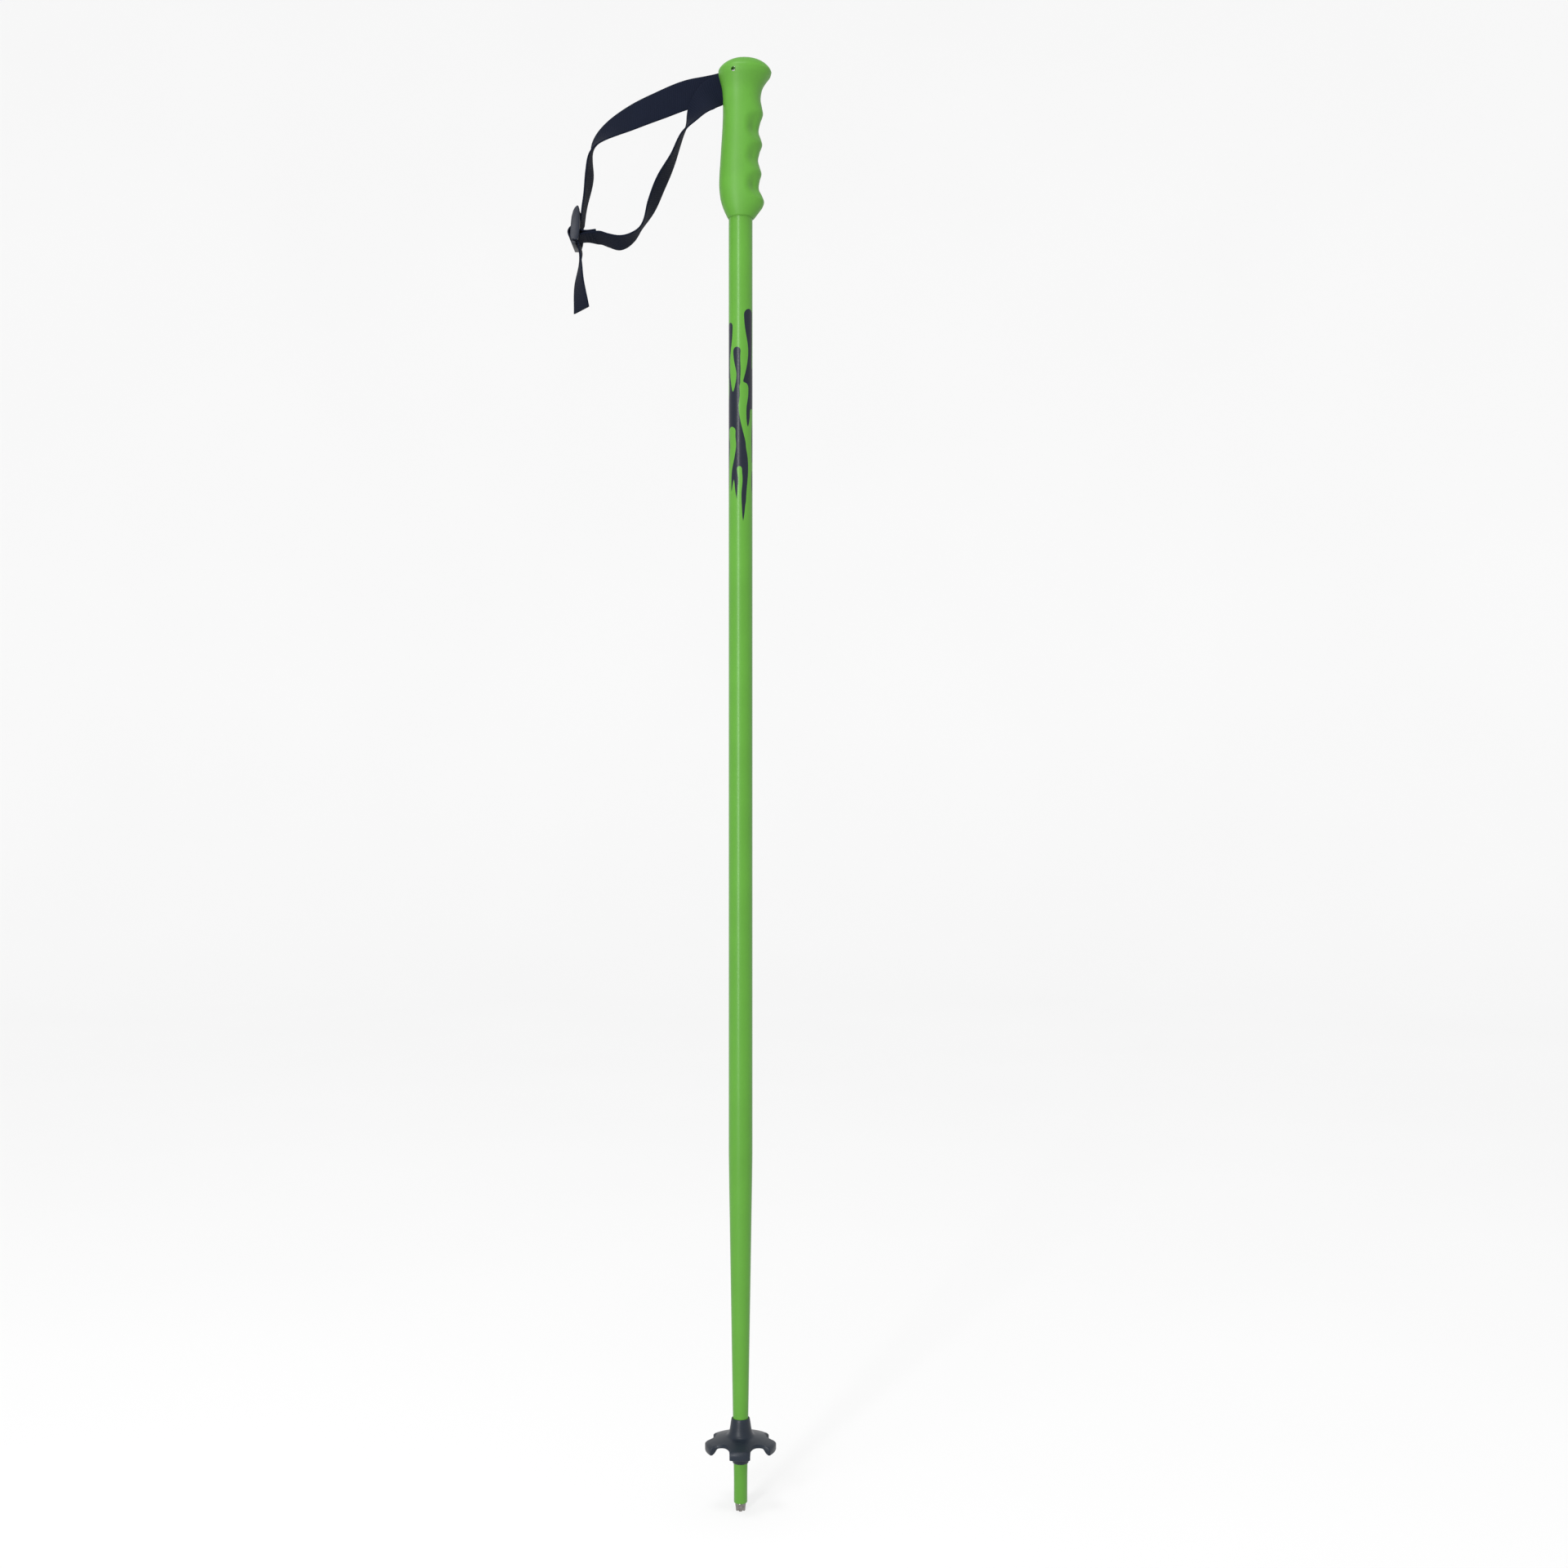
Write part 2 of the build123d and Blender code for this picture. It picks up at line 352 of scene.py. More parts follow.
def maths(nodes, links, operation, first, second=None):
    """One sum on numbers or on other nodes' outputs."""
    node = nodes.new("ShaderNodeMath")
    node.operation = operation
    for socket, value in zip(node.inputs, (first, second)):
        if value is None:
            continue
        if isinstance(value, (int, float)):
            socket.default_value = value
        else:
            links.new(value, socket)
    return node.outputs["Value"]


def shades(colour, spread):
    """A darker and a lighter shade of a colour."""
    dark = tuple(c * (1 - spread) for c in colour)
    light = tuple(min(1, c * (1 + spread)) for c in colour)
    return dark, light


def moulded(name, colour, roughness, grain, grain_depth, spread=0.08, specular=0.5):
    """Moulded plastic: cloudy colour, uneven gloss and a fine eroded grain."""
    material, nodes, links = new_material(name)
    shader = shader_of(material)
    shader.inputs["Specular IOR Level"].default_value = specular
    dark, light = shades(colour, spread)
    cloud = noise(nodes, links, 45, 3)
    links.new(ramp(nodes, links, cloud, [(0.3, dark), (0.7, light)]), shader.inputs["Base Color"])
    patches = noise(nodes, links, 160, 5)
    low, high = roughness
    links.new(span(nodes, links, patches, low, high), shader.inputs["Roughness"])
    fine = bump(nodes, links, noise(nodes, links, grain, 2), grain_depth * MM, 0.5)
    broad = bump(nodes, links, noise(nodes, links, 140, 2), 0.12 * MM, 0.25, fine)
    links.new(broad, shader.inputs["Normal"])
    return material


def lacquer_material():
    """Green lacquer with dark printed flames, set by how far inside the print a point lies."""
    material, nodes, links = new_material("shaft_lacquer")
    shader = shader_of(material)
    shader.inputs["Specular IOR Level"].default_value = 0.2
    shader.inputs["Coat Weight"].default_value = 0.12
    shader.inputs["Coat Roughness"].default_value = 0.2
    inside = nodes.new("ShaderNodeAttribute")
    inside.attribute_name = "print_inside"
    edge = span(nodes, links, inside.outputs["Fac"], 0, 1)
    edge.node.inputs["From Min"].default_value = -0.06
    edge.node.inputs["From Max"].default_value = 0.06
    cloud = noise(nodes, links, 25, 3)
    green = ramp(nodes, links, cloud, [(0.3, shades(GREEN, 0.05)[0]), (0.7, shades(GREEN, 0.05)[1])])
    ink = ramp(nodes, links, cloud, [(0.3, shades(NAVY, 0.15)[0]), (0.7, shades(NAVY, 0.15)[1])])
    mix = nodes.new("ShaderNodeMix")
    mix.data_type = "RGBA"
    links.new(edge, mix.inputs["Factor"])
    links.new(green, mix.inputs["A"])
    links.new(ink, mix.inputs["B"])
    links.new(mix.outputs["Result"], shader.inputs["Base Color"])
    links.new(span(nodes, links, noise(nodes, links, 300, 4), 0.3, 0.42), shader.inputs["Roughness"])
    peel = bump(nodes, links, noise(nodes, links, 420, 2), 0.02 * MM, 0.35)
    links.new(peel, shader.inputs["Normal"])
    return material


def webbing_material(name, colour):
    """Woven webbing: slanted ribs across its width, yarns along it, and loose fibres, with painted shade in
    the colour: rib crests lighter, valleys darker.
    """
    material, nodes, links = new_material(name)
    shader = shader_of(material)
    shader.inputs["Sheen Weight"].default_value = 0.01
    shader.inputs["Sheen Roughness"].default_value = 0.5
    shader.inputs["Specular IOR Level"].default_value = 0.06
    weave = nodes.new("ShaderNodeAttribute")
    weave.attribute_name = "weave"
    parts = nodes.new("ShaderNodeSeparateXYZ")
    links.new(weave.outputs["Vector"], parts.inputs["Vector"])
    across, along = parts.outputs["X"], parts.outputs["Y"]
    twill = maths(nodes, links, "ADD", along, maths(nodes, links, "MULTIPLY", across, RIB_SLANT))
    ribs = maths(nodes, links, "SINE", maths(nodes, links, "MULTIPLY", twill, FULL_TURN / RIB_PITCH))
    yarns = maths(nodes, links, "SINE", maths(nodes, links, "MULTIPLY", across, FULL_TURN / YARN_PITCH))
    cloth = maths(nodes, links, "MULTIPLY", ribs, yarns)
    height = maths(nodes, links, "ADD", ribs, maths(nodes, links, "MULTIPLY", cloth, 0.45))
    fibres = noise(nodes, links, 2600, 3)
    cloud = noise(nodes, links, 70, 4)
    dark, light = shades(colour, 0.35)
    # Base colour: painted shade, lighter on the rib crests and darker in the valleys between them, on top of
    # a random cloudy tone.
    rib_shade_and_cloud = maths(nodes, links, "ADD", maths(nodes, links, "MULTIPLY", height, 0.11), 0.5)
    rib_shade_and_cloud = maths(nodes, links, "ADD", rib_shade_and_cloud, maths(nodes, links, "MULTIPLY", cloud, 0.3))
    rib_shade_and_cloud = maths(nodes, links, "SUBTRACT", rib_shade_and_cloud, 0.15)
    links.new(ramp(nodes, links, rib_shade_and_cloud, [(0.1, dark), (0.9, light)]), shader.inputs["Base Color"])
    links.new(span(nodes, links, fibres, 0.62, 0.9), shader.inputs["Roughness"])
    woven = bump(nodes, links, height, 0.07 * MM, 0.7)
    links.new(bump(nodes, links, fibres, 0.08 * MM, 0.5, woven), shader.inputs["Normal"])
    return material


def steel_material(name, colour, roughness, scale):
    """Bright steel with fine marks, stretched by the scale along each axis, and a few dull patches."""
    material, nodes, links = new_material(name)
    shader = shader_of(material)
    shader.inputs["Metallic"].default_value = 1
    coordinates = nodes.new("ShaderNodeTexCoord").outputs["Object"]
    stretch = nodes.new("ShaderNodeMapping")
    stretch.inputs["Scale"].default_value = scale
    links.new(coordinates, stretch.inputs["Vector"])
    marks = noise(nodes, links, 1, 3, stretch.outputs["Vector"])
    dark, light = shades(colour, 0.18)
    patches = noise(nodes, links, 500, 4)
    links.new(ramp(nodes, links, patches, [(0.35, dark), (0.65, light)]), shader.inputs["Base Color"])
    low, high = roughness
    links.new(span(nodes, links, marks, low, high), shader.inputs["Roughness"])
    links.new(bump(nodes, links, marks, 0.02 * MM, 0.5), shader.inputs["Normal"])
    return material


def stage_material():
    """Pale floor that also shines a little, so that the background stays even."""
    material, nodes, links = new_material("studio_white")
    shader = shader_of(material)
    white = ramp(nodes, links, noise(nodes, links, 2, 2), [(0, (0.24, 0.24, 0.24)), (1, (0.26, 0.26, 0.26))])
    links.new(white, shader.inputs["Base Color"])
    shader.inputs["Roughness"].default_value = 0.9
    shader.inputs["Specular IOR Level"].default_value = 0
    shader.inputs["Emission Color"].default_value = (1, 1, 1, 1)
    shader.inputs["Emission Strength"].default_value = 0.7
    return material


# ---------------------------------------------------------------- camera, lights, stage

def add_camera():
    """Level camera in front of the pole, close enough to look up at the grip and down at the basket."""
    low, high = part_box("shaft_tube")
    middle = (low[2] + high[2]) / 2
    camera = bpy.data.cameras.new("camera")
    camera.lens = LENS
    camera.sensor_width = 36
    holder = bpy.data.objects.new("camera", camera)
    holder.location = (CAMERA_ASIDE, -CAMERA_DISTANCE, middle + CAMERA_RAISE)
    holder.rotation_euler = (math.radians(90), 0, 0)
    bpy.context.scene.collection.objects.link(holder)
    bpy.context.scene.camera = holder


def add_light(name, place, target, size, power):
    light = bpy.data.lights.new(name, "AREA")
    light.shape = "RECTANGLE"
    light.size, light.size_y = size
    light.energy = power
    holder = bpy.data.objects.new(name, light)
    holder.location = place
    aim = np.array(target) - np.array(place)
    flat = math.hypot(aim[0], aim[1])
    holder.rotation_euler = (math.atan2(flat, -aim[2]), 0, math.atan2(-aim[0], aim[1]))
    bpy.context.scene.collection.objects.link(holder)


def add_lights():
    """A tall soft key light from the left front, a small one from above and an even sky."""
    middle = (0, 0, 0.55)
    add_light("key", (-0.85, -2.2, 0.9), middle, (0.28, 2.2), 50)
    add_light("top", (-0.3, -0.7, 2.5), middle, (0.6, 0.6), 15)
    world = bpy.data.worlds.new("studio")
    world.use_nodes = True
    background = world.node_tree.nodes["Background"]
    background.inputs["Color"].default_value = (1, 1, 1, 1)
    background.inputs["Strength"].default_value = 0.5
    bpy.context.scene.world = world
    bpy.context.scene.view_settings.view_transform = "Standard"


def add_stage():
    """A round pale floor that curves up into a wall, far behind the pole on every side."""
    profile = [(0.001, 0), (2000, 0), (FLOOR_RADIUS, 0)]
    steps = 8
    for step in range(1, steps + 1):
        angle = math.radians(90 * step / steps)
        rise = CORNER_RADIUS * (1 - math.cos(angle))
        profile.append((FLOOR_RADIUS + CORNER_RADIUS * math.sin(angle), rise))
    profile.append((FLOOR_RADIUS + CORNER_RADIUS, WALL_TOP_Z))
    points = 96
    rings = round_rings(profile, points)
    faces = ring_faces(len(rings), points, True, False)
    floor = make_mesh("floor", rings.reshape(-1, 3), faces)
    floor.data.materials.append(stage_material())


# ---------------------------------------------------------------- shaft

def shaft_radius(z):
    """Outer radius of the tube at a height above its cylindrical end."""
    share = np.clip((z - TIP_SEAT_TOP_Z) / (TAPER_TOP_Z - TIP_SEAT_TOP_Z), 0, 1)
    return SHAFT_END_RADIUS + share * (SHAFT_RADIUS - SHAFT_END_RADIUS)


# One printed flame: place round the tube from its front, top, tail, radius of its head and of its
# belly, lean and sway, all in millimetres, and where in its swing it starts, in turns
DARK_FLAMES = [
    (7.4, 909, 762, 4.6, 5.8, -5.0, 2.4, 0.05), (-9.6, 899, 757, 3.2, 4.8, 2.0, 2.3, 0.5),
    (-2.8, 880, 782, 3.0, 4.3, -3.4, 2.0, 0.05), (17.6, 892, 752, 3.8, 5.2, -3.0, 2.3, 0.5),
    (26.6, 905, 757, 4.2, 5.4, -4.0, 2.4, 0.0), (-18.6, 908, 748, 4.2, 5.5, 4.5, 2.4, 0.5),
    (-26.6, 884, 766, 3.3, 4.8, 3.0, 2.2, 0.0), (12.6, 864, 776, 2.4, 4.2, -1.5, 1.6, 0.4),
    (-13.8, 868, 774, 2.4, 4.0, 1.0, 1.6, 0.1), (21.8, 870, 780, 2.6, 4.4, -1.0, 1.7, 0.1),
    (-0.8, 846, 740, 3.0, 5.3, 3.2, 1.0, 0.5), (-22.0, 838, 744, 3.0, 4.2, 2.4, 1.0, 0.0),
    (15.0, 838, 746, 3.0, 4.2, -2.0, 1.0, 0.0), (25.6, 832, 746, 3.0, 4.2, 2.0, 1.0, 0.5),
    (-4.6, 815, 750, 2.4, 1.6, 3.4, 0.8, 0.0),
]
LIGHT_FLAMES = [
    (2.9, 853, 768, 3.6, 1.9, 4.2, 2.0, 0.5), (-7.4, 820, 760, 3.5, 1.5, -0.6, 1.4, 0.0),
    (10.8, 834, 766, 2.5, 1.2, -2.4, 1.4, 0.5), (-0.7, 790, 748, 1.9, 0.9, 1.6, 0.5, 0.0),
    (-12.6, 858, 820, 1.3, 0.7, -1.4, 1.0, 0.0), (17.0, 850, 774, 3.1, 1.6, 2.0, 1.7, 0.5),
    (22.6, 822, 762, 3.1, 1.4, 1.0, 1.3, 0.0), (-17.0, 840, 768, 3.0, 1.5, -2.0, 1.6, 0.5),
    (-23.2, 848, 776, 3.3, 1.6, 2.4, 1.8, 0.0), (27.6, 800, 758, 2.1, 0.9, -1.0, 0.9, 0.5),
    (-20.4, 792, 756, 1.9, 0.8, 1.0, 0.8, 0.0), (13.8, 794, 755, 1.9, 0.8, -1.0, 0.8, 0.0),
]
JOIN_ROUNDING = 1.0


def smooth_max(first, second, rounding):
    """The larger of two fields, with the corner where they cross rounded off."""
    near = np.maximum(rounding - np.abs(first - second), 0) / rounding
    return np.maximum(first, second) + near * near * rounding / 4


def flame_depth(flames, arc, z, necked):
    """How far inside any of these flames each point of the tube lies, in millimetres."""
    turn = FULL_TURN * SHAFT_RADIUS
    depth = np.full(arc.shape, -9.0)
    for place, top, tail, head, belly, lean, sway, phase in flames:
        length = top - head - tail
        t = np.clip((top - head - z) / length, 0, 1)
        if necked:
            radii = [(0, head), (0.07, 0.86 * head), (0.2, 0.52 * head)]
            radii += [(0.46, belly), (0.74, 0.36 * belly), (1, 0)]
        else:
            radii = [(0, head), (0.12, 0.92 * head), (0.42, belly), (0.7, 0.45 * belly), (1, 0)]
        swing = FULL_TURN * (1.1 * t + phase)
        strength = soft_step(0, 0.2, t) * sway
        centre = place + lean * t + strength * np.sin(swing)
        slope = (lean + strength * FULL_TURN * 1.1 * np.cos(swing)) / length
        away = (arc - centre + turn / 2) % turn - turn / 2
        body = smooth_line(radii, t) - np.abs(away) / np.sqrt(1 + slope ** 2)
        cap = head - np.hypot(away, z - (top - head))
        flame = np.where(z > top - head, cap, np.where(z > tail, body, -9.0))
        depth = smooth_max(depth, flame, JOIN_ROUNDING)
    return depth


def even_out(field):
    """Softens a field over the tube's rings and round them, so that no sliver of print is left."""
    for _ in range(6):
        field = (np.roll(field, 1, 1) + 2 * field + np.roll(field, -1, 1)) / 4
    for _ in range(3):
        field[1:-1] = (field[:-2] + 2 * field[1:-1] + field[2:]) / 4
    return field


def make_shaft():
    """The tube, with close rings where the print is."""
    heights = [SHAFT_BOTTOM_Z + 0.5, TIP_SEAT_TOP_Z]
    heights += list(np.linspace(40, PRINT_BOTTOM_Z - 8, 34))
    heights += list(np.arange(PRINT_BOTTOM_Z, PRINT_TOP_Z + 1, 0.6))
    heights += list(np.linspace(PRINT_TOP_Z + 8, SHAFT_TOP_Z, 8))
    profile = [(SHAFT_END_RADIUS - 0.5, SHAFT_BOTTOM_Z), (SHAFT_END_RADIUS - 0.15, SHAFT_BOTTOM_Z + 0.15)]
    profile += [(float(shaft_radius(z)), z) for z in heights]
    profile += [(SHAFT_RADIUS - WALL, SHAFT_TOP_Z), (SHAFT_END_RADIUS - WALL, TIP_SEAT_TOP_Z)]
    profile += [(SHAFT_END_RADIUS - WALL, SHAFT_BOTTOM_Z)]
    points = 144
    rings = round_rings(profile, points)
    faces = loop_faces(len(rings), points)
    shaft = make_mesh("shaft", rings.reshape(-1, 3), faces, 40)
    spot = rings.reshape(-1, 3)
    arc = SHAFT_RADIUS * np.arctan2(spot[:, 0], -spot[:, 1])
    dark = flame_depth(DARK_FLAMES, arc, spot[:, 2], True)
    light = flame_depth(LIGHT_FLAMES, arc, spot[:, 2], False)
    inside = even_out(np.clip(-smooth_max(-dark, light, JOIN_ROUNDING), -1, 1).reshape(len(rings), points))
    printed = shaft.data.attributes.new("print_inside", "FLOAT", "POINT")
    printed.data.foreach_set("value", inside.ravel().astype(np.float32))
    shaft.data.materials.append(lacquer_material())
    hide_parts("shaft_tube")
    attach(shaft, "pole")


# ---------------------------------------------------------------- grip

def grip_ring(z, palm, swell, groove, half_width, points):
    """One level of the grip. Grooves show on the finger side and fade out round the sides."""
    angle = np.linspace(0, FULL_TURN, points, endpoint=False)
    c, s = np.cos(angle), np.sin(angle)
    reach = 0.12 + 0.3 * np.exp(-(swell - groove))
    scoop = (swell - groove) * soft_step(reach, reach + 0.6, c)
    power = 2 / 2.15
    x = np.sign(c) * np.abs(c) ** power * np.where(c > 0, swell - scoop, palm)
    y = np.sign(s) * np.abs(s) ** power * (half_width - 1.3 * scoop)
    seam = 0.12 * np.exp(-(y / 0.35) ** 2)
    x += np.sign(c) * seam
    return np.stack([x, y, np.full(points, z)], 1)


def make_grip():
    """Socket, sides and crown as one skin, with the strap's slot and the pin's hole cut out."""
    points = 160
    angle = np.linspace(0, FULL_TURN, points, endpoint=False)
    circle = np.stack([np.cos(angle), np.sin(angle)], 1)
    rings = []
    for radius, z in ((SOCKET_RADIUS, SHAFT_TOP_Z + 1.6), (SOCKET_RADIUS, 979.4), (9.15, 978.8)):
        rings.append(np.concatenate([radius * circle, np.full((points, 1), z)], 1))
    for z in np.linspace(GRIP_BOTTOM_Z, GRIP_RIM_Z, 170):
        rings.append(grip_ring(
            z, smooth_line(PALM_SIDE, z), smooth_line(FINGER_SWELLS, z),
            smooth_line(FINGER_GROOVES, z), smooth_line(GRIP_HALF_WIDTH, z), points))
    rim = rings[-1]
    crown = np.array([GRIP_CROWN_X, 0, 0])
    for share in (0.996, 0.985, 0.965, 0.94, 0.91, *np.linspace(0.87, 0.04, 24)):
        centre = crown * (1 - share)
        ring = centre + rim * [share, share, 0]
        ring[:, 2] = GRIP_RIM_Z + (GRIP_TOP_Z - GRIP_RIM_Z) * (1 - share ** 2) ** 0.68
        rings.append(ring)
    body = skin("grip_body", rings)
    body.data.shade_smooth()
    cut_slot(body)
    cut_pin_hole(body)
    body.data.set_sharp_from_angle(angle=math.radians(42))
    body.data.materials.clear()
    body.data.materials.append(moulded("grip_green", GREEN, (0.4, 0.52), 1900, 0.05, 0.05, 0.25))
    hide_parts("grip")
    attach(body, "pole")


def subtract(body, cutter):
    """Cuts one mesh out of another and keeps the result."""
    cut = body.modifiers.new("cut", "BOOLEAN")
    cut.operation = "DIFFERENCE"
    cut.solver = "EXACT"
    cut.object = cutter
    apply_modifiers(body)
    bpy.data.objects.remove(cutter)


def prism(name, outline, y_low, y_high):
    """Plate of an (x, z) outline between two y values."""
    return skin(name, [[(x, y, z) for x, z in outline] for y in (y_low, y_high)])


def cut_slot(body):
    """The slot for the strap's root, a little taller than the root so that it can tip up."""
    outline = [
        (-26, 1061.7), (-6.6, 1069.9), (-0.8, 1078.6), (-0.8, 1091.2),
        (-5.2, 1094.1), (-10.2, 1093.6), (-19, 1090.7), (-26, 1090.7),
    ]
    cutter = prism("slot_cutter", outline, -SLOT_HALF_WIDTH, SLOT_HALF_WIDTH)
    add_bevel(cutter, 1.0, 3, 30)
    subtract(body, cutter)


def cut_pin_hole(body):
    """The hole is a little wider past the pin's ends."""
    points = 40
    angle = np.linspace(0, FULL_TURN, points, endpoint=False)
    rings = []
    half = [(PIN_HALF_LENGTH, PIN_HOLE_RADIUS), (PIN_HALF_LENGTH + 0.1, PIN_MOUTH_RADIUS)]
    half.append((22, PIN_MOUTH_RADIUS))
    for y, radius in [(-y, radius) for y, radius in reversed(half)] + half:
        ring = [PIN_X + radius * np.cos(angle), np.full(points, float(y)), PIN_Z + radius * np.sin(angle)]
        rings.append(np.stack(ring, 1))
    subtract(body, skin("pin_cutter", rings))


# ---------------------------------------------------------------- strap

def through(stations, spacing):
    """Points and rolls along a smooth curve through the stations, evenly spaced."""
    rows = np.array(stations, float)
    ends = np.vstack([2 * rows[0] - rows[1], rows, 2 * rows[-1] - rows[-2]])
    dense = []
    for i in range(1, len(ends) - 2):
        before, here, there, after = ends[i - 1:i + 3]
        # tangents are scaled by the lengths beside them, so uneven stations stay smooth
        near = np.linalg.norm((there - here)[:3])
        left = (there - before) * near / (near + np.linalg.norm((here - before)[:3]))
        right = (after - here) * near / (near + np.linalg.norm((after - there)[:3]))
        t = np.linspace(0, 1, 40, endpoint=False)[:, None]
        curve = (1 + 2 * t) * (1 - t) ** 2 * here + t * (1 - t) ** 2 * left
        dense.append(curve + t * t * (3 - 2 * t) * there + t * t * (t - 1) * right)
    dense = np.vstack([*dense, rows[-1:]])
    length = np.concatenate([[0], np.cumsum(np.linalg.norm(np.diff(dense[:, :3], axis=0), axis=1))])
    at = np.linspace(0, length[-1], int(length[-1] / spacing) + 1)
    return np.stack([np.interp(at, length, column) for column in dense.T], 1), at


def webbing_section():
    """Outline of the webbing's section, (across, out), with rounded selvedges."""
    half, thick = WEBBING_WIDTH / 2, WEBBING_THICKNESS / 2
    face = np.linspace(-1, 1, 25)
    top = [(half * 0.965 * f, thick * (1 - 0.22 * abs(f) ** 8)) for f in face]
    shoulder, tip = (half * 0.985, thick * 0.62), (half, thick * 0.2)
    right = [shoulder, tip, (tip[0], -tip[1]), (shoulder[0], -shoulder[1])]
    bottom = [(-x, -y) for x, y in top]
    left = [(-x, -y) for x, y in right]
    return np.array(top + right + bottom + left)


def webbing(name, stations, along_start=0.0, narrow_start=1.0):
    """A length of webbing as a closed mesh, ribbed across, with its own weave coordinates.

    along_start is where on the strap it begins, and narrow_start the share of its width there.
    """
    line, at = through(stations, WEBBING_STEP)
    points, roll = line[:, :3], np.radians(line[:, 3])
    tangent = np.gradient(points, axis=0)
    tangent /= np.linalg.norm(tangent, axis=1)[:, None]
    upright = np.cross([0, 1.0, 0], tangent)
    upright /= np.linalg.norm(upright, axis=1)[:, None]
    flat = np.cross(tangent, upright)
    across = upright * np.cos(roll)[:, None] + flat * np.sin(roll)[:, None]
    out = np.cross(across, tangent)
    section = webbing_section()
    run = at + along_start
    width = narrow_start + (1 - narrow_start) * soft_step(0, SQUEEZE_LENGTH, at)
    side = section[:, 0][None, :] * width[:, None]
    rib = RIB_HEIGHT * np.sin(FULL_TURN * (run[:, None] + RIB_SLANT * side) / RIB_PITCH)
    rib = rib * (1 - soft_step(0.84, 0.96, np.abs(section[:, 0]) / (WEBBING_WIDTH / 2)))
    ripple = EDGE_RIPPLE * np.sin(run / 7.3) * np.cos(run / 17.0)
    lift = section[:, 1][None, :] + np.sign(section[:, 1])[None, :] * rib
    lift = lift + ripple[:, None] * (side / (WEBBING_WIDTH / 2)) ** 2
    rings = points[:, None] + across[:, None] * side[..., None] + out[:, None] * lift[..., None]
    piece = skin(name, rings, 70)
    weave = piece.data.attributes.new("weave", "FLOAT_VECTOR", "POINT")
    values = np.zeros((rings.shape[0], rings.shape[1], 3), np.float32)
    values[..., 0] = side
    values[..., 1] = run[:, None]
    weave.data.foreach_set("vector", values.ravel())
    return piece, at[-1]


def hem_point(distance, height):
    """Place on the hem's middle line, out from the middle bar and up from between its layers."""
    c, s = math.cos(HEM_SLOPE), math.sin(HEM_SLOPE)
    return BAR_X + distance * c - height * s, 0, BAR_Z + distance * s + height * c


def hem_twist(distance):
    """Degrees by which the doubled end has turned towards the loop's own roll."""
    return HEM_TWIST * float(soft_step(3, HEM_END, distance))


def on_hem(distance, height, across):
    """Point on the twisted hem, across it from its middle line."""
    twist = math.radians(hem_twist(distance))
    x, y, z = hem_point(distance, 0)
    y += across * math.cos(twist) + height * math.sin(twist)
    z += height * math.cos(twist) - across * math.sin(twist)
    return np.array([x, y, z])


def around_bar(degrees, radius):
    """Place beside the buckle's middle bar."""
    angle = math.radians(degrees)
    return (BAR_X + radius * math.cos(angle), 0, BAR_Z + radius * math.sin(angle))


def hem_stations():
    """Stations under the buckle's middle bar, round it and back on top."""
    layer = WEBBING_THICKNESS / 2 + 0.04
    reach = BAR_RADIUS + 0.3 + WEBBING_THICKNESS / 2
    slope = math.degrees(HEM_SLOPE)
    apart = [(LAYER_END, layer), (8, layer), (4.5, 1.3)]
    under = [(*hem_point(HEM_END, -layer), 90 + hem_twist(HEM_END))]
    under += [(*hem_point(distance, -gap), 90 + hem_twist(distance)) for distance, gap in apart]
    bend = [(*around_bar(slope - angle, reach), 90) for angle in range(55, 310, 35)]
    back = [(*hem_point(distance, gap), 90 - hem_twist(distance)) for distance, gap in reversed(apart)]
    return under + bend + back


def make_strap():
    """The strap's three lengths of webbing, in place of the imported strap pieces."""
    material = webbing_material("webbing_navy", WEBBING_NAVY)
    rear, rear_length = webbing("strap_rear_webbing", REAR_RUN, 0, SQUEEZE)
    front, front_length = webbing("strap_front_webbing", FRONT_RUN + hem_stations(), 0.6, SQUEEZE)
    woven = [(*around_bar(angle, radius), 90) for angle, radius in WEAVE]
    tail, tail_length = webbing("strap_tail_webbing", TAIL_START + woven + TAIL_END, rear_length)
    for piece in (rear, front, tail):
        piece.data.materials.append(material)
    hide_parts("strap_rear_run", "strap_root", "strap_root_stitching")
    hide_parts("strap_front_run", "strap_hem")
    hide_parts("strap_tail")
    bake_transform(rear)
    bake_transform(front)
    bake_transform(tail)


def stitch(start, end, radius, rise):
    """One thread stitch: a short bowed rod between two points."""
    start, end = np.array(start), np.array(end)
    direction = (end - start) / np.linalg.norm(end - start)
    normal = np.array(rise, float)
    side = np.cross(direction, normal)
    steps, points = 7, 8
    angle = np.linspace(0, FULL_TURN, points, endpoint=False)
    rings = []
    for step in range(steps):
        t = step / (steps - 1)
        swell = 0.35 + 0.65 * math.sin(math.pi * t) ** 0.5
        centre = start + (end - start) * t + normal * radius * 0.9 * math.sin(math.pi * t)
        offset = np.cos(angle)[:, None] * side + np.sin(angle)[:, None] * normal
        rings.append(centre + offset * radius * swell)
    return np.array(rings)


